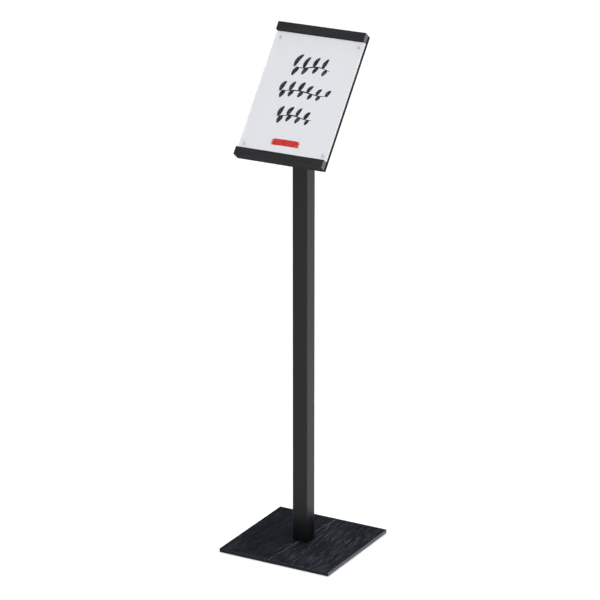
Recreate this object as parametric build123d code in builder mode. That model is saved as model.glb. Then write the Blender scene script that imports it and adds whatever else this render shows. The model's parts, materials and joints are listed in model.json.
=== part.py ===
from build123d import *
import os
from math import cos, radians, sin

# A floor-standing sign holder. A square steel post stands on a weighted wooden base and
# carries a leaning wooden panel. Two rails on the panel frame a letter-size sheet, which a
# clear cover holds flat with magnets in its corners.
# Millimetres, +Z up, front towards -Y. The origin is on the floor at the centre of the base.

# ---- Driving dimensions ----
sheet_width = 215.9  # letter sheet, 8.5 in
sheet_height = 279.4  # letter sheet, 11 in
sheet_thickness = 0.3

sign_lean = 38.5  # degrees back from upright
head_height = 1039  # where the panel's rear face crosses the post's axis
sheet_play = 1.2  # spare height for the sheet between the rails
panel_thickness = 9.5
rail_height = 19.1
rail_depth = 14
cover_thickness = 4.8
layer_gap = 0.1  # air between panel, sheet and cover
cover_end_gap = 0.5  # between the cover and each rail
sheet_foot_gap = 0.2  # between the sheet and the lower rail

base_size = 277
board_thickness = 8.5
pad_proud = 1  # the board's height above the floor

post_width = 36.5
post_wall = 1.5
post_corner_radius = 2

# ---- Details of the pieces ----
wood_edge = 0.5
cover_edge = 0.4
plate_edge = 0.4

pad_radius = 10
pad_thickness = 2
pad_inset = 16  # pad centre from the board's sides
pad_edge = 0.4

weight_size = 220
weight_thickness = 3.6
weight_corner_radius = 5
weight_pocket_gap = 0.3
weight_pocket_depth = 3.7
weight_screw_spacing = 92  # three rows of three, without the middle one
weight_screw_radius = 1.7
weight_screw_head_radius = 3.4
weight_screw_length = 7
weight_screw_recess_radius = 1.6

plug_height = 20
plug_edge = 1
post_bolt_spacing = 19
post_bolt_radius = 3
post_bolt_head_radius = 6
post_bolt_length = 20
post_bolt_recess_radius = 2.3

head_plate_width = 90
head_plate_height = 130
head_plate_thickness = 4
head_plate_corner_radius = 8
head_screw_spacing_x = 66
head_screw_spacing_y = 104
head_screw_radius = 2.5
head_screw_head_radius = 4.75
head_screw_head_height = 2.75
head_screw_length = 10.5
head_screw_recess_radius = 1.7
insert_radius = 3.5
insert_length = 7

rail_screw_spacing = 85
rail_screw_radius = 1.75
rail_screw_head_radius = 3.5
rail_screw_length = 20
rail_screw_recess_radius = 1.6

magnet_radius = 2.5
magnet_thickness = 3  # in the panel; those of the cover go through it
magnet_recess = 0.1
magnet_inset = 12  # magnet centre from the cover's sides and ends
magnet_edge = 0.2

screw_gap = 0.05  # round a screw in its thread
plain_hole_gap = 0.25  # round a screw in a plain hole
bore_gap = 0.05  # round a piece glued or welded into its bore
head_recess = 0.2  # from a countersunk head to the face round it
pilot_extra = 0.3  # from a screw's tip to the end of its blind hole
countersink_angle = 90

# ---- Worked out from those ----
sign_width = sheet_width
rail_opening = sheet_height + sheet_play
sign_length = rail_opening + 2 * rail_height
rail_centre = (sign_length - rail_height) / 2
cover_length = rail_opening - 2 * cover_end_gap
sheet_centre = sheet_foot_gap - sheet_play / 2
magnet_x = sign_width / 2 - magnet_inset
magnet_y = cover_length / 2 - magnet_inset
cover_magnet_thickness = cover_thickness - magnet_recess
post_bottom = pad_proud + board_thickness
post_bore = post_width - 2 * post_wall
post_blank_length = head_height + post_width
pad_place = base_size / 2 - pad_inset

# The sign's own planes: x to the right, y up along the sign, z out of its front.
sign_back = Plane(
    origin=(0, 0, head_height),
    x_dir=(1, 0, 0),
    z_dir=(0, -cos(radians(sign_lean)), sin(radians(sign_lean))),
)
panel_front = sign_back.offset(panel_thickness)
sheet_back = panel_front.offset(layer_gap)
cover_back = sheet_back.offset(sheet_thickness + layer_gap)
plate_back = sign_back.offset(-head_plate_thickness)
sign_normal = Axis(sign_back.origin, sign_back.z_dir)

# The base's underside, and the faces that are drilled from below and from behind.
board_underside = Plane.XY.offset(pad_proud)
seen_from_below = Plane((0, 0, pad_proud), x_dir=(1, 0, 0), z_dir=(0, 0, -1))
seen_from_behind = Plane(sign_back.origin, x_dir=(1, 0, 0), z_dir=-sign_back.z_dir)
plate_from_behind = seen_from_behind.offset(head_plate_thickness)

left_right = {"left": -1, "right": 1}
front_rear = {"front": -1, "rear": 1}
lower_upper = {"lower": -1, "upper": 1}


def countersunk_screw(radius, head_radius, length, recess_radius):
    """A flat-headed screw. Its head's face is at z = 0 and it points along -Z."""
    head_depth = head_radius - radius
    tip = radius * 0.4
    with BuildPart() as screw:
        with BuildSketch(Plane.XZ):
            with BuildLine():
                Polyline(
                    (0, 0),
                    (head_radius, 0),
                    (radius, -head_depth),
                    (radius, tip - length),
                    (radius - tip, -length),
                    (0, -length),
                    close=True,
                )
            make_face()
        revolve(axis=Axis.Z)
        with BuildSketch(Plane.XY):
            RegularPolygon(radius=recess_radius, side_count=6)
        extrude(amount=-head_depth * 0.8, mode=Mode.SUBTRACT)
    return screw.part


def button_screw(radius, head_radius, head_height, length, recess_radius):
    """A dome-headed screw. Its head stands on z = 0 and it points along -Z."""
    tip = radius * 0.3
    crown_radius = head_radius * 0.45
    shoulder = (head_radius * 0.84, head_height * 0.66)
    with BuildPart() as screw:
        with BuildSketch(Plane.XZ):
            with BuildLine():
                Line((0, head_height), (crown_radius, head_height))
                ThreePointArc((crown_radius, head_height), shoulder, (head_radius, 0))
                Polyline(
                    (head_radius, 0),
                    (radius, 0),
                    (radius, tip - length),
                    (radius - tip, -length),
                    (0, -length),
                    (0, head_height),
                )
            make_face()
        revolve(axis=Axis.Z)
        with BuildSketch(Plane.XY.offset(head_height)):
            RegularPolygon(radius=recess_radius, side_count=6)
        extrude(amount=-head_height * 0.7, mode=Mode.SUBTRACT)
    return screw.part


def weight_screw_places():
    """Three rows of three screws round the base's underside, without the middle one."""
    steps = (-weight_screw_spacing, 0, weight_screw_spacing)
    return [(x, y) for x in steps for y in steps if x or y]


os.makedirs("parts", exist_ok=True)

# ---- Base: a wooden board with a steel weight let into its underside, on four pads ----
with BuildPart() as base_board:
    with BuildSketch(board_underside):
        Rectangle(base_size, base_size)
    extrude(amount=board_thickness)
    chamfer(base_board.edges(), wood_edge)
    with BuildSketch(board_underside):
        RectangleRounded(
            weight_size + 2 * weight_pocket_gap,
            weight_size + 2 * weight_pocket_gap,
            weight_corner_radius + weight_pocket_gap,
        )
    extrude(amount=weight_pocket_depth, mode=Mode.SUBTRACT)
    with BuildSketch(board_underside):
        with GridLocations(2 * pad_place, 2 * pad_place, 2, 2):
            Circle(pad_radius + bore_gap)
    extrude(amount=pad_thickness - pad_proud, mode=Mode.SUBTRACT)
    with BuildSketch(board_underside):
        with GridLocations(post_bolt_spacing, post_bolt_spacing, 2, 2):
            Circle(post_bolt_radius + plain_hole_gap)
    extrude(amount=board_thickness, mode=Mode.SUBTRACT)
    with BuildSketch(board_underside):
        with Locations(weight_screw_places()):
            Circle(weight_screw_radius + screw_gap)
    extrude(amount=head_recess + weight_screw_length + pilot_extra, mode=Mode.SUBTRACT)
base_board.part.label = "base_board"
export_step(base_board.part, "parts/base_board.step")

with BuildPart() as base_weight_plate:
    with BuildSketch(board_underside):
        RectangleRounded(weight_size, weight_size, weight_corner_radius)
    extrude(amount=weight_thickness)
    with Locations(seen_from_below):
        with GridLocations(post_bolt_spacing, post_bolt_spacing, 2, 2):
            CounterSinkHole(
                post_bolt_radius + plain_hole_gap,
                post_bolt_head_radius + plain_hole_gap,
                weight_thickness,
                countersink_angle,
            )
        with Locations(weight_screw_places()):
            CounterSinkHole(
                weight_screw_radius + plain_hole_gap,
                weight_screw_head_radius + plain_hole_gap,
                weight_thickness,
                countersink_angle,
            )
base_weight_plate.part.label = "base_weight_plate"
export_step(base_weight_plate.part, "parts/base_weight_plate.step")

weight_screw = countersunk_screw(
    weight_screw_radius,
    weight_screw_head_radius,
    weight_screw_length,
    weight_screw_recess_radius,
)
with BuildPart() as weight_plate_screws:
    with Locations(seen_from_below.offset(-head_recess)):
        with Locations(weight_screw_places()):
            add(weight_screw)
weight_plate_screws.part.label = "weight_plate_screws"
export_step(weight_plate_screws.part, "parts/weight_plate_screws.step")

for end_name, end in front_rear.items():
    for side_name, side in left_right.items():
        with BuildPart() as foot_pad:
            with BuildSketch(Plane.XY):
                with Locations((side * pad_place, end * pad_place)):
                    Circle(pad_radius)
            extrude(amount=pad_thickness)
            chamfer(foot_pad.edges().group_by(Axis.Z)[0], pad_edge)
        foot_pad.part.label = f"foot_pad_{end_name}_{side_name}"
        export_step(foot_pad.part, f"parts/foot_pad_{end_name}_{side_name}.step")

# ---- Post: a square tube, cut to the sign's lean at the top and plugged at the foot ----
with BuildPart() as post_tube:
    with BuildSketch(Plane.XY.offset(post_bottom)):
        RectangleRounded(post_width, post_width, post_corner_radius)
        RectangleRounded(
            post_bore, post_bore, post_corner_radius - post_wall, mode=Mode.SUBTRACT
        )
    extrude(amount=post_blank_length)
    split(bisect_by=plate_back, keep=Keep.BOTTOM)
post_tube.part.label = "post_tube"
export_step(post_tube.part, "parts/post_tube.step")

with BuildPart() as post_foot_plug:
    with BuildSketch(Plane.XY.offset(post_bottom)):
        Rectangle(post_bore - 2 * bore_gap, post_bore - 2 * bore_gap)
    extrude(amount=plug_height)
    chamfer(post_foot_plug.edges().filter_by(Axis.Z), plug_edge)
    with BuildSketch(Plane.XY.offset(post_bottom)):
        with GridLocations(post_bolt_spacing, post_bolt_spacing, 2, 2):
            Circle(post_bolt_radius + screw_gap)
    extrude(amount=plug_height, mode=Mode.SUBTRACT)
post_foot_plug.part.label = "post_foot_plug"
export_step(post_foot_plug.part, "parts/post_foot_plug.step")

post_bolt = countersunk_screw(
    post_bolt_radius, post_bolt_head_radius, post_bolt_length, post_bolt_recess_radius
)
with BuildPart() as post_bolts:
    with Locations(seen_from_below.offset(-head_recess)):
        with GridLocations(post_bolt_spacing, post_bolt_spacing, 2, 2):
            add(post_bolt)
post_bolts.part.label = "post_bolts"
export_step(post_bolts.part, "parts/post_bolts.step")

# ---- Head: a plate on the post's slanted end, screwed into the sign's panel ----
with BuildPart() as head_plate:
    with BuildSketch(plate_back):
        RectangleRounded(head_plate_width, head_plate_height, head_plate_corner_radius)
    extrude(amount=head_plate_thickness)
    chamfer(head_plate.edges().group_by(sign_normal)[0], plate_edge)
    with BuildSketch(plate_back):
        with GridLocations(head_screw_spacing_x, head_screw_spacing_y, 2, 2):
            Circle(head_screw_radius + plain_hole_gap)
    extrude(amount=head_plate_thickness, mode=Mode.SUBTRACT)
head_plate.part.label = "head_plate"
export_step(head_plate.part, "parts/head_plate.step")

head_screw = button_screw(
    head_screw_radius,
    head_screw_head_radius,
    head_screw_head_height,
    head_screw_length,
    head_screw_recess_radius,
)
with BuildPart() as head_screws:
    with Locations(plate_from_behind):
        with GridLocations(head_screw_spacing_x, head_screw_spacing_y, 2, 2):
            add(head_screw)
head_screws.part.label = "head_screws"
export_step(head_screws.part, "parts/head_screws.step")

with BuildPart() as panel_inserts:
    with BuildSketch(sign_back):
        with GridLocations(head_screw_spacing_x, head_screw_spacing_y, 2, 2):
            Circle(insert_radius)
            Circle(head_screw_radius + screw_gap, mode=Mode.SUBTRACT)
    extrude(amount=insert_length)
panel_inserts.part.label = "panel_inserts"
export_step(panel_inserts.part, "parts/panel_inserts.step")

# ---- Sign: the panel, its two rails and the magnets let into it ----
with BuildPart() as back_panel:
    with BuildSketch(sign_back):
        Rectangle(sign_width, sign_length)
    extrude(amount=panel_thickness)
    chamfer(back_panel.edges(), wood_edge)
    with BuildSketch(sign_back):
        with GridLocations(head_screw_spacing_x, head_screw_spacing_y, 2, 2):
            Circle(insert_radius + bore_gap)
    extrude(amount=insert_length + pilot_extra, mode=Mode.SUBTRACT)
    with BuildSketch(panel_front):
        with GridLocations(2 * magnet_x, 2 * magnet_y, 2, 2):
            Circle(magnet_radius + bore_gap)
    extrude(amount=-magnet_thickness - magnet_recess, mode=Mode.SUBTRACT)
    with Locations(seen_from_behind):
        with GridLocations(rail_screw_spacing, 2 * rail_centre, 3, 2):
            CounterSinkHole(
                rail_screw_radius + plain_hole_gap,
                rail_screw_head_radius + plain_hole_gap,
                panel_thickness,
                countersink_angle,
            )
back_panel.part.label = "back_panel"
export_step(back_panel.part, "parts/back_panel.step")

rail_screw = countersunk_screw(
    rail_screw_radius, rail_screw_head_radius, rail_screw_length, rail_screw_recess_radius
)
rail_bore_depth = head_recess + rail_screw_length - panel_thickness + pilot_extra
for end_name, end in lower_upper.items():
    with BuildPart() as rail:
        with BuildSketch(panel_front):
            with Locations((0, end * rail_centre)):
                Rectangle(sign_width, rail_height)
        extrude(amount=rail_depth)
        chamfer(rail.edges(), wood_edge)
        with BuildSketch(panel_front):
            with Locations((0, end * rail_centre)):
                with GridLocations(rail_screw_spacing, 0, 3, 1):
                    Circle(rail_screw_radius + screw_gap)
        extrude(amount=rail_bore_depth, mode=Mode.SUBTRACT)
    rail.part.label = f"{end_name}_rail"
    export_step(rail.part, f"parts/{end_name}_rail.step")

    with BuildPart() as rail_screws:
        with Locations(seen_from_behind.offset(-head_recess)):
            with Locations((0, -end * rail_centre)):
                with GridLocations(rail_screw_spacing, 0, 3, 1):
                    add(rail_screw)
    rail_screws.part.label = f"{end_name}_rail_screws"
    export_step(rail_screws.part, f"parts/{end_name}_rail_screws.step")

# ---- Cover and sheet: both come off the sign ----
with BuildPart() as clear_cover:
    with BuildSketch(cover_back):
        Rectangle(sign_width, cover_length)
    extrude(amount=cover_thickness)
    chamfer(clear_cover.edges(), cover_edge)
    with BuildSketch(cover_back):
        with GridLocations(2 * magnet_x, 2 * magnet_y, 2, 2):
            Circle(magnet_radius + bore_gap)
    extrude(amount=cover_thickness, mode=Mode.SUBTRACT)
clear_cover.part.label = "clear_cover"
export_step(clear_cover.part, "parts/clear_cover.step")

with BuildPart() as sign_sheet:
    with BuildSketch(sheet_back):
        with Locations((0, sheet_centre)):
            Rectangle(sheet_width, sheet_height)
    extrude(amount=sheet_thickness)
sign_sheet.part.label = "sign_sheet"
export_step(sign_sheet.part, "parts/sign_sheet.step")

# ---- Magnets: a pair in each corner, one in the panel and one in the cover ----
magnet_seats = {
    "panel": (panel_front.offset(-magnet_recess - magnet_thickness), magnet_thickness),
    "cover": (cover_back.offset(magnet_recess), cover_magnet_thickness),
}
for place, (magnet_floor, thickness) in magnet_seats.items():
    for end_name, end in lower_upper.items():
        for side_name, side in left_right.items():
            with BuildPart() as magnet:
                with BuildSketch(magnet_floor):
                    with Locations((side * magnet_x, end * magnet_y)):
                        Circle(magnet_radius)
                extrude(amount=thickness)
                chamfer(magnet.edges().filter_by(GeomType.CIRCLE), magnet_edge)
            magnet_name = f"{place}_magnet_{end_name}_{side_name}"
            magnet.part.label = magnet_name
            export_step(magnet.part, f"parts/{magnet_name}.step")
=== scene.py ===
import json
import math
import random
from collections import namedtuple

import bmesh
import bpy
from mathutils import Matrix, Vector


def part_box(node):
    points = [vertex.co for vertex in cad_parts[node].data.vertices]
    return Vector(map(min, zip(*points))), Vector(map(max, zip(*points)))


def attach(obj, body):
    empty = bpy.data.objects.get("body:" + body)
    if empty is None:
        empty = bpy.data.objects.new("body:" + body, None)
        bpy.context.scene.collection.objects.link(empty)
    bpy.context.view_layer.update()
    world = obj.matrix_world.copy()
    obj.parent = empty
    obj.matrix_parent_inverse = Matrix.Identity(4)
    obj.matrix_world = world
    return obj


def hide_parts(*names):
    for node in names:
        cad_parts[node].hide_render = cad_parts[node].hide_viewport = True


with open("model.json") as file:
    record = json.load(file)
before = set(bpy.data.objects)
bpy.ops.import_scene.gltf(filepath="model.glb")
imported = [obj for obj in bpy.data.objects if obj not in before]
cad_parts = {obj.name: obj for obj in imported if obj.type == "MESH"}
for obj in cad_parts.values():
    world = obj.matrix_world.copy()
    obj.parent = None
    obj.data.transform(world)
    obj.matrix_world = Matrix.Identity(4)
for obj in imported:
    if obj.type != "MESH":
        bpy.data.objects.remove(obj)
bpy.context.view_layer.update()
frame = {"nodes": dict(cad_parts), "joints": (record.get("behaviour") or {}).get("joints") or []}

# A floor-standing sign holder: a black wooden base and sign on a black steel post.
# Metres, in the CAD frame: +Z up, the sign faces -Y, the floor is z = 0.
MM = 0.001

# The sign's own directions. The cover lifts straight off along the sign's outward normal.
SIGN_OUT = Vector(next(j["axis"] for j in frame["joints"] if j["name"] == "cover_lift"))
SIGN_RIGHT = Vector((1, 0, 0))
SIGN_UP = SIGN_OUT.cross(SIGN_RIGHT)
SIGN_AXES = (SIGN_RIGHT, SIGN_UP, SIGN_OUT)
RAIL_AXES = (SIGN_UP, SIGN_RIGHT, SIGN_OUT)
WORLD_AXES = (Vector((1, 0, 0)), Vector((0, 1, 0)), Vector((0, 0, 1)))

# A board's directions across, along and through its grain, its box in them, and its own place
# in the noise.
Board = namedtuple("Board", "axes low high seed")

# How a stained wood looks. Colours are linear, and a gain of 1 brings a feature to the pale colour.
Wood = namedtuple(
    "Wood",
    "dark pale ring_spacing ring_depth ring_taper ring_slope "
    "line_gain heart_gain streak_gain streak_drift end_pale side_pale roughness shine",
)
BASE_WOOD = Wood(
    dark=(0.0083, 0.0102, 0.0148),
    pale=(0.148, 0.162, 0.182),
    ring_spacing=7 * MM,
    ring_depth=24 * MM,
    ring_taper=0.11,
    ring_slope=0.1,
    line_gain=0.4,
    heart_gain=0.95,
    streak_gain=0.62,
    streak_drift=1.3,
    # The base's end faces are painted paler: partly pale end grain, partly painted light.
    end_pale=(0.032, 0.033, 0.036),
    # Painted light: the base's long-grain sides are painted pale, standing in for their sheen and the
    # light from the right.
    side_pale=(0.18, 0.185, 0.19),
    roughness=0.5,
    shine=0.03,
)
RAIL_WOOD = BASE_WOOD._replace(
    dark=(0.0175, 0.0179, 0.0192),
    pale=(0.075, 0.077, 0.081),
    ring_spacing=5 * MM,
    ring_slope=0.0,
    ring_taper=0.05,
    line_gain=0.38,
    heart_gain=0.0,
    streak_gain=0.42,
    streak_drift=0.0,
    # Painted highlight: the rails' end faces are painted pale for the light they catch from the
    # right; only a little of it is paler end grain.
    end_pale=(0.28, 0.282, 0.29),
    # Painted shade: the rails' top and bottom faces are painted a little darker than their fronts;
    # the panel takes the same on its left and right edges.
    side_pale=(0.014, 0.0142, 0.015),
    roughness=0.45,
    shine=0.15,
)
PANEL_WOOD = RAIL_WOOD._replace(
    dark=(0.009, 0.0092, 0.0098),
    ring_spacing=9 * MM,
    ring_taper=0.08,
    line_gain=0.25,
    streak_gain=0.25,
    # The panel's top and bottom end faces are painted paler too: partly end grain, partly painted
    # light.
    end_pale=(0.03, 0.0305, 0.032),
    roughness=0.6,
    shine=0.08,
)
BOARDS = {
    "base_board": (WORLD_AXES, BASE_WOOD, (0.31, 1.7, 0.0)),
    "upper_rail": (RAIL_AXES, RAIL_WOOD, (0.83, 2.9, 0.4)),
    "lower_rail": (RAIL_AXES, RAIL_WOOD, (2.17, 5.3, 1.1)),
    "back_panel": (SIGN_AXES, PANEL_WOOD, (4.4, 0.6, 2.3)),
}

# How fine each noise of the wood is across, along and through its grain, in features a metre.
WANDER = (22, 11, 22)
BEND = (26, 17, 26)
PORES = (1150, 42, 1150)
STREAKS = (420, 9, 420)
THREADS = (980, 24, 980)
CLOUDS = (13, 9, 13)
BREAKS = (120, 22, 120)
WEAR = (60, 30, 60)
TONE = (22, 7, 22)

Metal = namedtuple("Metal", "dark light roughness mottle metallic")
BLACK_OXIDE = Metal((0.02, 0.02, 0.022), (0.06, 0.06, 0.064), 0.38, 700, 1.0)
DARK_PRIMER = Metal((0.03, 0.03, 0.031), (0.07, 0.07, 0.072), 0.6, 240, 0.0)
BRASS = Metal((0.55, 0.38, 0.15), (0.74, 0.57, 0.27), 0.3, 500, 1.0)
NICKEL = Metal((0.42, 0.42, 0.436), (0.56, 0.56, 0.576), 0.3, 600, 1.0)

# A row of the print: its centre and size on the sheet, its number of leaves and its random seed.
Sprig = namedtuple("Sprig", "centre width height leaves seed")
SPRIGS = {
    "print_sprig_top": Sprig((0, 67 * MM), 92 * MM, 46 * MM, 8, 3),
    "print_sprig_middle": Sprig((1 * MM, 8 * MM), 122 * MM, 37 * MM, 11, 5),
    "print_sprig_bottom": Sprig((-2 * MM, -50 * MM), 86 * MM, 38 * MM, 8, 11),
}


def extent(node, axes):
    """The lowest and highest place of a CAD node's vertices along three directions."""
    points = [v.co for v in frame["nodes"][node].data.vertices]
    along = [[p.dot(axis) for p in points] for axis in axes]
    return tuple(min(a) for a in along), tuple(max(a) for a in along)


# ---- Nodes of a material ----


def new_material(name):
    """A material, its node tree and its Principled shader."""
    material = bpy.data.materials.new(name)
    material.use_nodes = True
    tree = material.node_tree
    return material, tree, tree.nodes["Principled BSDF"]


def feed(tree, socket, value):
    """Links an output to a socket, or sets the socket's own value."""
    if isinstance(value, bpy.types.NodeSocket):
        tree.links.new(value, socket)
    elif hasattr(socket.default_value, "__len__") and len(socket.default_value) == 4:
        socket.default_value = (*value, 1.0)
    else:
        socket.default_value = value


def feed_surface(tree, shader, colour, roughness, normal):
    """Feeds the three inputs that vary over every surface here."""
    feed(tree, shader.inputs["Base Color"], colour)
    feed(tree, shader.inputs["Roughness"], roughness)
    feed(tree, shader.inputs["Normal"], normal)


def add(tree, kind, inputs=(), **settings):
    """A new node with its settings, and its first inputs fed in order."""
    made = tree.nodes.new(kind)
    for name, value in settings.items():
        setattr(made, name, value)
    for socket, value in zip(made.inputs, inputs):
        feed(tree, socket, value)
    return made


def calc(tree, operation, *values):
    """The output of a Math node."""
    return add(tree, "ShaderNodeMath", values, operation=operation).outputs[0]


def product(tree, first, *others):
    """All the values multiplied together."""
    for other in others:
        first = calc(tree, "MULTIPLY", first, other)
    return first


def joined(tree, x, y, z):
    """A vector from its three parts."""
    return add(tree, "ShaderNodeCombineXYZ", (x, y, z)).outputs[0]


def parts(tree, vector):
    """The three parts of a vector."""
    return add(tree, "ShaderNodeSeparateXYZ", (vector,)).outputs[:3]


def along_axis(tree, vector, axis):
    """How far a vector reaches along an axis."""
    values = (vector, tuple(axis))
    return add(tree, "ShaderNodeVectorMath", values, operation="DOT_PRODUCT").outputs["Value"]


def in_axes(tree, axes, vector):
    """A vector as measured along three axes."""
    return joined(tree, *(along_axis(tree, vector, axis) for axis in axes))


def moved(tree, vector, step):
    """A vector plus a step."""
    return add(tree, "ShaderNodeVectorMath", (vector, step), operation="ADD").outputs[0]


def noise(tree, place, fineness, detail=2.0, roughness=0.5):
    """Noise with about fineness features a metre, alike or different along the three axes."""
    factors = fineness if isinstance(fineness, tuple) else (fineness,) * 3
    stretched = add(tree, "ShaderNodeVectorMath", (place, factors), operation="MULTIPLY")
    made = add(tree, "ShaderNodeTexNoise")
    feed(tree, made.inputs["Vector"], stretched.outputs[0])
    made.inputs["Scale"].default_value = 1.0
    made.inputs["Detail"].default_value = detail
    made.inputs["Roughness"].default_value = roughness
    return made.outputs["Fac"]


def remap(tree, value, low, high, new_low=0.0, new_high=1.0):
    """value's range low to high turned into new_low to new_high, and held there beyond it."""
    return add(tree, "ShaderNodeMapRange", (value, low, high, new_low, new_high)).outputs[0]


def blended(tree, factor, first, second):
    """first where factor is 0, second where it is 1. Both are colours."""
    made = add(tree, "ShaderNodeMix", data_type="RGBA")
    factor_input, first_colour, second_colour = 0, 6, 7
    feed(tree, made.inputs[factor_input], factor)
    feed(tree, made.inputs[first_colour], first)
    feed(tree, made.inputs[second_colour], second)
    return made.outputs[2]


def bumped(tree, height, depth, strength):
    """A normal for a surface that height raises by up to depth metres."""
    made = add(tree, "ShaderNodeBump")
    made.inputs["Strength"].default_value = strength
    made.inputs["Distance"].default_value = depth
    feed(tree, made.inputs["Height"], height)
    return made.outputs["Normal"]


def object_place(tree):
    """The place on the object, which is the place in the CAD frame at rest."""
    return add(tree, "ShaderNodeTexCoord").outputs["Object"]


def object_normal(tree):
    """The surface's normal in the object's own directions."""
    return add(tree, "ShaderNodeTexCoord").outputs["Normal"]


def near_edges(tree, place, low, high, width):
    """1 on the edges of the box low to high and 0 beyond width from them, roughened a little."""
    rough = remap(tree, noise(tree, place, 350, 4.0), 0.3, 0.7, 0.2, 1.6)
    total = 0.0
    for coordinate, start, end in zip(parts(tree, place), low, high):
        from_start = calc(tree, "SUBTRACT", coordinate, start)
        from_end = calc(tree, "SUBTRACT", end, coordinate)
        inward = calc(tree, "MINIMUM", from_start, from_end)
        near = remap(tree, calc(tree, "DIVIDE", inward, rough), 0.0, width, 1.0, 0.0)
        total = calc(tree, "ADD", total, near)
    return remap(tree, total, 1.0, 2.0)


# ---- Wood ----


def ring_lines(tree, place, wood):
    """Growth-ring lines of a plain-sawn board, arched along its middle, and the line between them."""
    across, along, _ = parts(tree, place)
    wander = remap(tree, noise(tree, place, WANDER, 4.0, 0.6), 0.2, 0.8, -8 * MM, 8 * MM)
    middle = calc(tree, "MULTIPLY", along, wood.ring_slope)
    offset = calc(tree, "ADD", calc(tree, "SUBTRACT", across, middle), wander)
    depth = calc(tree, "MULTIPLY_ADD", along, wood.ring_taper, wood.ring_depth)
    squares = calc(tree, "ADD", product(tree, offset, offset), product(tree, depth, depth))
    radius = calc(tree, "SQRT", squares)
    phase = calc(tree, "FRACT", calc(tree, "DIVIDE", radius, wood.ring_spacing))
    rings = remap(tree, calc(tree, "ABSOLUTE", calc(tree, "SUBTRACT", phase, 0.5)), 0.4, 0.5)
    heart = remap(tree, calc(tree, "ABSOLUTE", offset), 0.3 * MM, 1.1 * MM, 1.0, 0.0)
    return rings, heart


def bent_grain(tree, place, seed):
    """The board's place in the noise, bent a little from side to side as real grain is."""
    grain = moved(tree, place, seed)
    bend = remap(tree, noise(tree, grain, BEND, 3.0), 0.2, 0.8, -4 * MM, 4 * MM)
    return moved(tree, grain, joined(tree, bend, 0.0, 0.0))


def wood_figure(tree, place, grain, rings, heart, threads, wood):
    """Where the stain shows paler: broken ring lines, the heart line and patches of thin streaks."""
    across, _, _ = parts(tree, place)
    clouds = calc(tree, "MULTIPLY_ADD", across, wood.streak_drift, noise(tree, grain, CLOUDS))
    patches = remap(tree, clouds, 0.44, 0.66)
    broken = remap(tree, noise(tree, grain, BREAKS), 0.42, 0.62)
    worn = remap(tree, noise(tree, grain, WEAR), 0.3, 0.48)
    lines = product(tree, rings, broken, wood.line_gain)
    heart_line = product(tree, heart, worn, wood.heart_gain)
    thin = product(tree, threads, patches, wood.streak_gain)
    figure = calc(tree, "ADD", calc(tree, "MAXIMUM", lines, heart_line), thin)
    return calc(tree, "MINIMUM", figure, 1.0)


def wood_colour(tree, grain, streaks, figure, edges, board, wood):
    """The stain, paler in its figure and on rubbed edges, with painted light on the sides and end
    faces (painted shade on the rails' top and bottom faces).
    """
    tone = remap(tree, noise(tree, grain, TONE, 3.0), 0.35, 0.65)
    deep = tuple(c * 0.62 for c in wood.dark)
    colour = blended(tree, tone, deep, wood.dark)
    colour = blended(tree, calc(tree, "MULTIPLY", streaks, 0.09), colour, wood.pale)
    colour = blended(tree, figure, colour, wood.pale)
    # Painted light by face direction: the sides are blended toward a colour that stands in for their
    # sheen and light (painted shade on the rails' top and bottom faces).
    sideways, endways, _ = parts(tree, in_axes(tree, board.axes, object_normal(tree)))
    side_face = remap(tree, calc(tree, "ABSOLUTE", sideways), 0.6, 0.9)
    colour = blended(tree, calc(tree, "MULTIPLY", side_face, 0.8), colour, wood.side_pale)
    # Painted light on the end faces: blended toward a paler colour that is partly end grain and
    # partly a stand-in for the light they catch.
    end_face = remap(tree, calc(tree, "ABSOLUTE", endways), 0.6, 0.9)
    speckle = remap(tree, noise(tree, grain, 900), 0.4, 0.62)
    colour = blended(tree, end_face, colour, blended(tree, speckle, wood.end_pale, wood.dark))
    return blended(tree, calc(tree, "MULTIPLY", edges, 0.35), colour, wood.pale)


def wood_roughness(tree, pores, streaks, edges, wood):
    """Duller in pores and streaks, smoother on rubbed edges, and left rough underneath."""
    dull = calc(tree, "MULTIPLY_ADD", pores, 0.18, wood.roughness)
    dull = calc(tree, "MULTIPLY_ADD", streaks, 0.08, dull)
    dull = calc(tree, "MULTIPLY_ADD", edges, -0.12, dull)
    downward = along_axis(tree, object_normal(tree), (0, 0, -1))
    return calc(tree, "ADD", dull, remap(tree, downward, 0.5, 0.75, 0.0, 0.45))


def wood_material(name, board, wood):
    """Open-grained wood stained black: pores, ring lines, paler end grain, rubbed edges."""
    material, tree, shader = new_material(name)
    place = in_axes(tree, board.axes, object_place(tree))
    grain = bent_grain(tree, place, board.seed)
    pores = remap(tree, noise(tree, grain, PORES, 3.0), 0.56, 0.68)
    streaks = remap(tree, noise(tree, grain, STREAKS, 3.0, 0.6), 0.45, 0.75)
    threads = remap(tree, noise(tree, grain, THREADS), 0.55, 0.7)
    rings, heart = ring_lines(tree, place, wood)
    edges = near_edges(tree, place, board.low, board.high, 1.1 * MM)
    figure = wood_figure(tree, place, grain, rings, heart, threads, wood)
    colour = wood_colour(tree, grain, streaks, figure, edges, board, wood)
    dull = wood_roughness(tree, pores, streaks, edges, wood)
    height = calc(tree, "MULTIPLY_ADD", pores, -1.0, calc(tree, "MULTIPLY", rings, 0.5))
    height = calc(tree, "MULTIPLY_ADD", threads, 0.35, height)
    feed_surface(tree, shader, colour, dull, bumped(tree, height, 0.08 * MM, 0.35))
    shader.inputs["Specular IOR Level"].default_value = wood.shine
    return material


# ---- Metal, rubber, paper, ink and acrylic ----


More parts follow.
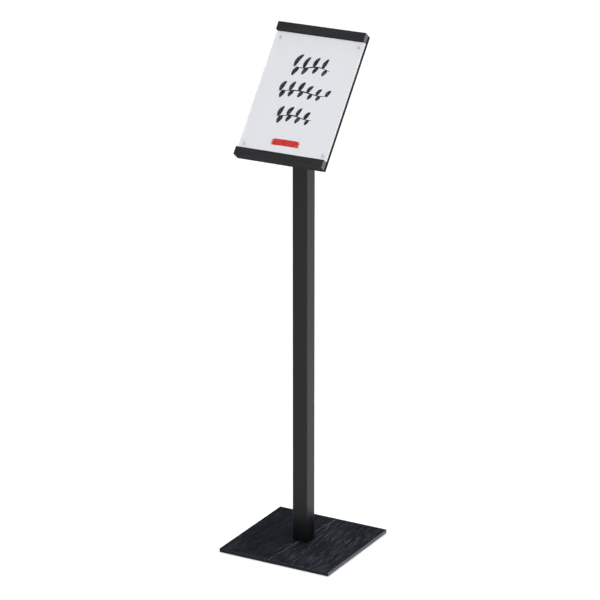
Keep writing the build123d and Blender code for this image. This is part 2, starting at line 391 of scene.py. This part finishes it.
def coating_material(name, axes, low, high):
    """Satin black powder coat: a fine orange-peel texture, thin where it goes over edges."""
    material, tree, shader = new_material(name)
    place = in_axes(tree, axes, object_place(tree))
    peel = noise(tree, place, 1500, 3.0, 0.6)
    cloud = noise(tree, place, (11, 11, 4), 3.0)
    specks = remap(tree, noise(tree, place, 900, 1.0), 0.7, 0.78)
    edges = near_edges(tree, place, low, high, 1.6 * MM)
    colour = blended(tree, cloud, (0.0038, 0.0043, 0.005), (0.0062, 0.0068, 0.0078))
    colour = blended(tree, calc(tree, "MULTIPLY", specks, 0.35), colour, (0.05, 0.051, 0.053))
    colour = blended(tree, calc(tree, "MULTIPLY", edges, 0.4), colour, (0.045, 0.046, 0.049))
    satin = remap(tree, cloud, 0.3, 0.7, 0.27, 0.36)
    feed_surface(tree, shader, colour, satin, bumped(tree, peel, 0.05 * MM, 0.5))
    shader.inputs["Specular IOR Level"].default_value = 0.25
    return material


def metal_material(name, metal):
    """Metal in two tones with fine scratches and a mottled finish."""
    material, tree, shader = new_material(name)
    place = object_place(tree)
    mottle = noise(tree, place, metal.mottle, 4.0, 0.6)
    scratch = remap(tree, noise(tree, place, (2600, 160, 2600)), 0.6, 0.72)
    rough = calc(tree, "MULTIPLY_ADD", mottle, 0.16, metal.roughness - 0.08)
    rough = calc(tree, "MULTIPLY_ADD", scratch, 0.1, rough)
    height = calc(tree, "MULTIPLY_ADD", scratch, -0.6, mottle)
    colour = blended(tree, mottle, metal.dark, metal.light)
    feed_surface(tree, shader, colour, rough, bumped(tree, height, 0.02 * MM, 0.5))
    shader.inputs["Metallic"].default_value = metal.metallic
    return material


def rubber_material(name):
    """Dull moulded rubber with a grainy surface and a little dust."""
    material, tree, shader = new_material(name)
    place = object_place(tree)
    grain = noise(tree, place, 2200)
    dust = remap(tree, noise(tree, place, 160, 4.0), 0.45, 0.75)
    colour = blended(tree, dust, (0.014, 0.014, 0.014), (0.05, 0.048, 0.045))
    dull = remap(tree, grain, 0.3, 0.7, 0.7, 0.92)
    feed_surface(tree, shader, colour, dull, bumped(tree, grain, 0.06 * MM, 0.6))
    return material


def paper_material(name):
    """Smooth card, a cool white, with a faint fibre cloud and a fine tooth."""
    material, tree, shader = new_material(name)
    place = in_axes(tree, SIGN_AXES, object_place(tree))
    cloud = noise(tree, place, 60, 4.0, 0.6)
    tooth = noise(tree, place, (3000, 2200, 3000), 3.0)
    colour = blended(tree, cloud, (0.694, 0.703, 0.723), (0.729, 0.736, 0.754))
    dull = remap(tree, tooth, 0.3, 0.7, 0.6, 0.8)
    feed_surface(tree, shader, colour, dull, bumped(tree, tooth, 0.02 * MM, 0.35))
    shader.inputs["Specular IOR Level"].default_value = 0.3
    return material


def ink_material(name, thin, thick):
    """Brushed ink: thick colour with paler bristle marks along the strokes."""
    material, tree, shader = new_material(name)
    place = in_axes(tree, SIGN_AXES, object_place(tree))
    bristles = noise(tree, place, (520, 130, 520), 3.0, 0.6)
    wash = noise(tree, place, 90)
    share = product(tree, remap(tree, bristles, 0.42, 0.68), remap(tree, wash, 0.35, 0.6))
    dull = remap(tree, bristles, 0.3, 0.7, 0.42, 0.6)
    normal = bumped(tree, bristles, 0.01 * MM, 0.4)
    feed_surface(tree, shader, blended(tree, share, thick, thin), dull, normal)
    shader.inputs["Specular IOR Level"].default_value = 0.05
    return material


def clear_material(name):
    """Clear polished acrylic, with the faintest ripple in its faces.

    Its index of refraction is lower than real acrylic's, so that it mirrors the room as little as
    the photo's cover does.
    """
    material, tree, shader = new_material(name)
    place = in_axes(tree, SIGN_AXES, object_place(tree))
    ripple = noise(tree, place, 12, 1.0)
    feed(tree, shader.inputs["Normal"], bumped(tree, ripple, 0.03 * MM, 0.3))
    shader.inputs["Base Color"].default_value = (0.985, 0.995, 1.0, 1.0)
    shader.inputs["Roughness"].default_value = 0.015
    shader.inputs["IOR"].default_value = 1.2
    shader.inputs["Specular IOR Level"].default_value = 0.2
    shader.inputs["Transmission Weight"].default_value = 1.0
    return material


def painted_edge_glow_material(name):
    """The acrylic's edge, painted near white: a painted glow for the light the clear sheet gathers
    and lets out at its edges, with faint tool marks in its bump.
    """
    material, tree, shader = new_material(name)
    place = in_axes(tree, SIGN_AXES, object_place(tree))
    marks = noise(tree, place, (260, 260, 2400), 3.0)
    cloud = noise(tree, place, 70, 3.0)
    # Painted glow: near white, standing in for the light gathered by the clear sheet.
    colour = blended(tree, cloud, (0.78, 0.81, 0.83), (0.9, 0.92, 0.93))
    dull = remap(tree, marks, 0.3, 0.7, 0.3, 0.5)
    feed_surface(tree, shader, colour, dull, bumped(tree, marks, 0.02 * MM, 0.5))
    return material


# ---- The CAD's own pieces ----


def dress(material, names):
    """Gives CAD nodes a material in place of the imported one."""
    for name in names:
        for slot in frame["nodes"][name].material_slots:
            slot.material = material


def nodes_named(start):
    """The CAD nodes whose names begin with start."""
    return sorted(name for name in frame["nodes"] if name.startswith(start))


def dress_boards():
    """Stained wood on the base, the rails and the panel, each with grain of its own."""
    for node, (axes, wood, seed) in BOARDS.items():
        board = Board(axes, *extent(node, axes), seed)
        dress(wood_material(f"{node}_wood", board, wood), [node])
    # In the photo the paper is evenly bright right up to the rails, so they don't shade it.
    for node in ("upper_rail", "lower_rail"):
        frame["nodes"][node].visible_diffuse = False


def dress_metal():
    """Powder coat on the post and its plate, and bare or primed metal on the rest."""
    for node, axes in (("post_tube", WORLD_AXES), ("head_plate", SIGN_AXES)):
        coat = coating_material(f"{node}_powder_coat", axes, *extent(node, axes))
        dress(coat, [node])
    fasteners = [name for name in frame["nodes"] if name.endswith(("_screws", "_bolts"))]
    magnets = nodes_named("cover_magnet") + nodes_named("panel_magnet")
    dress(metal_material("black_oxide", BLACK_OXIDE), fasteners)
    dress(metal_material("dark_primer", DARK_PRIMER), ["base_weight_plate", "post_foot_plug"])
    dress(metal_material("brass", BRASS), ["panel_inserts"])
    dress(metal_material("nickel", NICKEL), magnets)


# ---- Pieces that only the visual model has ----


def new_piece(name, verts, faces, material, body, smooth=False):
    """A new mesh object that rides on a body and takes the given material."""
    mesh = bpy.data.meshes.new(name)
    mesh.from_pydata([tuple(v) for v in verts], [], faces)
    mesh.materials.append(material)
    for polygon in mesh.polygons:
        polygon.use_smooth = smooth
    shell = bmesh.new()
    shell.from_mesh(mesh)
    bmesh.ops.recalc_face_normals(shell, faces=shell.faces)
    shell.to_mesh(mesh)
    shell.free()
    piece = bpy.data.objects.new(name, mesh)
    bpy.context.scene.collection.objects.link(piece)
    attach(piece, body)


def make_cover():
    """The cover in its CAD shape, with its four edges painted white as a painted glow of their own.
    """
    low, high = extent("clear_cover", SIGN_AXES)
    mesh = frame["nodes"]["clear_cover"].data.copy()
    mesh.name = "cover_clear_sheet"
    mesh.materials.clear()
    mesh.materials.append(clear_material("clear_acrylic"))
    mesh.materials.append(painted_edge_glow_material("acrylic_edge_painted_glow"))
    rim = 1 * MM
    for polygon in mesh.polygons:
        right, up = (polygon.center.dot(axis) for axis in (SIGN_RIGHT, SIGN_UP))
        inside = low[0] + rim < right < high[0] - rim and low[1] + rim < up < high[1] - rim
        flat = abs(polygon.normal.dot(SIGN_OUT)) > 0.9
        polygon.material_index = 0 if inside or flat else 1
    cover = bpy.data.objects.new("cover_clear_sheet", mesh)
    bpy.context.scene.collection.objects.link(cover)
    # Light passes the clear sheet as it does in life, so the paper under it stays bright.
    cover.visible_shadow = False
    cover.visible_diffuse = False
    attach(cover, "cover")
    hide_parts("clear_cover")


def turned(x, y, angle):
    """A point turned about the origin."""
    return (
        x * math.cos(angle) - y * math.sin(angle),
        x * math.sin(angle) + y * math.cos(angle),
    )


def rounded_square(half, corner, step):
    """Points round a square with rounded corners, about step apart."""
    straight = 2 * (half - corner)
    count = int(straight / step)
    side = [(half, -half + corner + straight * i / count) for i in range(count)]
    bend = max(4, int(corner * math.pi / 2 / step))
    for i in range(bend):
        x, y = turned(corner, 0.0, math.pi / 2 * i / bend)
        side.append((half - corner + x, half - corner + y))
    return [turned(x, y, math.pi / 2 * quarter) for quarter in range(4) for x, y in side]


def make_weld():
    """The rippled weld bead where the post's slanted top meets the head plate."""
    low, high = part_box("post_tube")
    half = (high.x - low.x) / 2
    plate_back = extent("head_plate", SIGN_AXES)[0][2]
    corner, bead, ripple = 2 * MM, 1.7 * MM, 2.2 * MM
    outline = [Vector(point) for point in rounded_square(half, corner, 0.3 * MM)]
    count, turns = len(outline), 10
    verts, faces = [], []
    travelled = 0.0
    for i, point in enumerate(outline):
        travelled += (point - outline[i - 1]).length
        size = bead * (0.82 + 0.18 * abs(math.sin(math.pi * travelled / ripple)))
        centre = Vector((point.x, point.y, (plate_back - point.y * SIGN_OUT.y) / SIGN_OUT.z))
        run = (outline[(i + 1) % count] - outline[i - 1]).normalized()
        side = Vector((run.y, -run.x, 0.0))
        for turn in range(turns):
            angle = math.tau * turn / turns
            verts.append(centre + (side * math.cos(angle) - SIGN_OUT * math.sin(angle)) * size)
            this, after = i * turns, (i + 1) % count * turns
            step = (turn + 1) % turns
            faces.append((this + turn, after + turn, after + step, this + step))
    coat = frame["nodes"]["head_plate"].material_slots[0].material
    new_piece("post_weld_bead", verts, faces, coat, "stand", smooth=True)


# ---- The print: brush-drawn sprigs and one red stroke ----


class Print:
    """Gathers flat strokes on the sheet into one thin mesh."""

    lower = 0.008 * MM
    upper = 0.035 * MM

    def __init__(self):
        low, high = extent("sign_sheet", SIGN_AXES)
        right, up = ((a + b) / 2 for a, b in zip(low[:2], high[:2]))
        self.origin = SIGN_RIGHT * right + SIGN_UP * up + SIGN_OUT * high[2]
        self.verts = []
        self.faces = []

    def at(self, x, y, lift):
        """A place on the sheet, from its middle."""
        return self.origin + SIGN_RIGHT * x + SIGN_UP * y + SIGN_OUT * lift

    def stroke(self, points, widths, rng, rough=0.04):
        """A stroke along points, as wide at each as widths says, with slightly uneven edges."""
        start = len(self.verts)
        for i, (point, width) in enumerate(zip(points, widths)):
            run = (points[min(i + 1, len(points) - 1)] - points[max(i - 1, 0)]).normalized()
            side = Vector((-run.y, run.x))
            for sign in (1, -1):
                edge = point + side * (sign * width / 2 * (1 + rng.uniform(-rough, rough)))
                self.verts.append(self.at(edge.x, edge.y, self.lower))
                self.verts.append(self.at(edge.x, edge.y, self.upper))
        last = start + 4 * (len(points) - 1)
        for a in range(start, last, 4):
            b = a + 4
            self.faces += [
                (a + 1, b + 1, b + 3, a + 3),
                (a, a + 2, b + 2, b),
                (a, b, b + 1, a + 1),
                (a + 2, a + 3, b + 3, b + 2),
            ]
        self.faces += [
            (start, start + 1, start + 3, start + 2),
            (last, last + 2, last + 3, last + 1),
        ]

    def piece(self, name, material):
        """The gathered strokes as one piece that rides on the sheet."""
        new_piece(name, self.verts, self.faces, material, "sheet")


def curve_points(start, end, bow, count):
    """Points from start to end on a line bowed sideways by bow at its middle."""
    run = end - start
    side = Vector((-run.y, run.x)).normalized()
    shares = [i / (count - 1) for i in range(count)]
    return [start + run * t + side * (bow * math.sin(math.pi * t)) for t in shares]


def leaf(page, foot, angle, length, width, bow, rng):
    """One brush-drawn leaf: pressed down soon after its foot and lifted to a point."""
    count = 22
    finest = 0.4 * MM
    tip = foot + Vector((math.cos(angle), math.sin(angle))) * length
    widths = []
    for i in range(count):
        t = i / (count - 1)
        press = max(math.sin(math.pi * t ** 0.8), 0.0) ** 0.55
        widths.append(finest + (width - finest) * press)
    page.stroke(curve_points(foot, tip, bow, count), widths, rng)


def make_sprig(name, sprig, ink):
    """A leafy sprig drawn with a brush: a fine waving stem, and leaves that lean right."""
    rng = random.Random(sprig.seed)
    page = Print()
    slant = math.radians(64)
    count = 60
    stem, widths = [], []
    for i in range(count):
        t = i / (count - 1)
        wave = 0.07 * sprig.height * math.sin(math.tau * 1.15 * t + sprig.seed)
        stem.append(Vector((sprig.centre[0] + sprig.width * (t - 0.5), sprig.centre[1] + wave)))
        widths.append((1.2 + 1.8 * math.sin(math.pi * t) ** 2) * MM)
    page.stroke(stem, widths, rng)
    for i in range(sprig.leaves):
        t = (i + 0.5) / sprig.leaves
        foot = stem[int(t * (count - 1))]
        size = 1.0 - 0.35 * t + rng.uniform(-0.05, 0.05)
        up = i % 2 == 0
        angle = slant + rng.uniform(-0.12, 0.12) + (0 if up else math.pi)
        length = sprig.height * (0.72 if up else 0.56) * size
        bow = rng.uniform(0.05, 0.12) * length * (1 if up else -1)
        leaf(page, foot, angle, length, rng.uniform(9.8, 11.4) * MM * size ** 0.5, bow, rng)
    page.piece(name, ink)


def make_red_stroke(ink):
    """One broad sweep of a flat brush, with bristle tails at its ends."""
    rng = random.Random(8)
    page = Print()
    centre = Vector((-1 * MM, -112.5 * MM))
    width, height = 73 * MM, 14 * MM
    lanes, count = 7, 36
    lane_width = 1.5 * height / lanes
    for lane in range(lanes):
        across = (lane + 0.5) / lanes - 0.5
        short = 0.5 * width * (1 - rng.uniform(0.0, 0.09))
        left = Vector((centre.x - short, centre.y + height * across))
        right = Vector((centre.x + short * rng.uniform(0.94, 1.0), left.y + 0.6 * MM))
        points = curve_points(left, right, 0.5 * MM, count)
        from_end = [min(i, count - 1 - i) / count for i in range(count)]
        widths = [lane_width * min(1.0, 0.15 + 9 * share) for share in from_end]
        page.stroke(points, widths, rng, rough=0.1)
    page.piece("print_red_stroke", ink)


def make_print():
    """Three sprigs and a red stroke, in place of the photo's lettering and badge."""
    slate = ink_material("ink_slate", (0.04, 0.066, 0.073), (0.005, 0.0085, 0.0105))
    red = ink_material("ink_red", (0.72, 0.07, 0.06), (0.6, 0.018, 0.016))
    for name, sprig in SPRIGS.items():
        make_sprig(name, sprig, slate)
    make_red_stroke(red)


# ---- Stage, light and camera ----


def floor_material():
    """Plain white, and clear from below and close to the object's underside, which light from
    below can then reach, so that the underside can be looked at."""
    material, tree, shader = new_material("floor_white")
    shader.inputs["Base Color"].default_value = (0.95, 0.95, 0.95, 1.0)
    shader.inputs["Roughness"].default_value = 1.0
    shader.inputs["Specular IOR Level"].default_value = 0.0
    shader.inputs["Emission Color"].default_value = (1.0, 1.0, 1.0, 1.0)
    shader.inputs["Emission Strength"].default_value = 0.16
    below = add(tree, "ShaderNodeNewGeometry").outputs["Backfacing"]
    reach = add(tree, "ShaderNodeLightPath").outputs["Ray Length"]
    close = calc(tree, "LESS_THAN", reach, 12 * MM)
    clear = add(tree, "ShaderNodeBsdfTransparent")
    mix = add(tree, "ShaderNodeMixShader")
    feed(tree, mix.inputs[0], calc(tree, "MAXIMUM", below, close))
    tree.links.new(shader.outputs[0], mix.inputs[1])
    tree.links.new(clear.outputs[0], mix.inputs[2])
    tree.links.new(mix.outputs[0], tree.nodes["Material Output"].inputs["Surface"])
    return material


def make_floor():
    """A floor that reaches far past the camera's view."""
    disc = bmesh.new()
    bmesh.ops.create_circle(disc, cap_ends=True, radius=150.0, segments=96)
    mesh = bpy.data.meshes.new("floor")
    disc.to_mesh(mesh)
    disc.free()
    mesh.materials.append(floor_material())
    floor = bpy.data.objects.new("floor", mesh)
    bpy.context.scene.collection.objects.link(floor)


def make_world():
    """A studio: bright overhead, dim low down. The camera itself sees it plain white."""
    world = bpy.data.worlds.new("studio")
    world.use_nodes = True
    bpy.context.scene.world = world
    tree = world.node_tree
    background = tree.nodes["Background"]
    height = parts(tree, add(tree, "ShaderNodeTexCoord").outputs["Generated"])[2]
    glow = add(tree, "ShaderNodeValToRGB")
    feed(tree, glow.inputs[0], height)
    stops = glow.color_ramp.elements
    stops[0].position, stops[0].color = 0.0, (0.03, 0.03, 0.031, 1.0)
    stops[1].position, stops[1].color = 1.0, (1.0, 1.0, 1.0, 1.0)
    for position, level in ((0.36, 0.04), (0.5, 0.14), (0.66, 0.5), (0.85, 0.85)):
        stop = stops.new(position)
        stop.color = (level, level, level * 1.02, 1.0)
    studio_strength, seen_strength = 1.75, 1.0
    seen = add(tree, "ShaderNodeLightPath").outputs["Is Camera Ray"]
    gain = seen_strength - studio_strength
    strength = calc(tree, "MULTIPLY_ADD", seen, gain, studio_strength)
    under = remap(tree, height, -0.02, -0.01, 1.0, 0.0)
    light = blended(tree, under, glow.outputs[0], (0.45, 0.45, 0.45))
    tree.links.new(blended(tree, seen, light, (1.0, 1.0, 1.0)), background.inputs[0])
    feed(tree, background.inputs[1], strength)


def make_key_light():
    """A large soft light, high on the right, a little in front."""
    data = bpy.data.lights.new("key", "AREA")
    data.shape = "DISK"
    data.size = 2.6
    data.energy = 60.0
    key = bpy.data.objects.new("key", data)
    key.location = (2.2, -3.3, 3.3)
    aim = key.location - Vector((0.0, 0.0, 0.6))
    key.rotation_euler = aim.to_track_quat("Z", "Y").to_euler()
    bpy.context.scene.collection.objects.link(key)


def make_camera():
    """The photo's viewing angle: from the right and a little above, through a long lens."""
    azimuth, elevation = math.radians(29.14), math.radians(19.19)
    target = Vector((-0.0092, 0.0, 0.5777))
    distance = 7.127
    level = math.cos(elevation)
    back = Vector((math.sin(azimuth) * level, -math.cos(azimuth) * level, math.sin(elevation)))
    data = bpy.data.cameras.new("camera")
    data.sensor_width = 36.0
    data.lens = 194.62
    data.clip_end = 1000.0
    camera = bpy.data.objects.new("camera", data)
    camera.location = target + back * distance
    camera.rotation_euler = back.to_track_quat("Z", "Y").to_euler()
    bpy.context.scene.collection.objects.link(camera)
    bpy.context.scene.camera = camera


def make_studio():
    """The floor, the light and the camera."""
    bpy.context.scene.view_settings.view_transform = "Standard"
    make_floor()
    make_world()
    make_key_light()
    make_camera()


dress_boards()
dress_metal()
dress(rubber_material("pad_rubber"), nodes_named("foot_pad"))
dress(paper_material("sheet_paper"), ["sign_sheet"])
make_cover()
make_weld()
make_print()
make_studio()
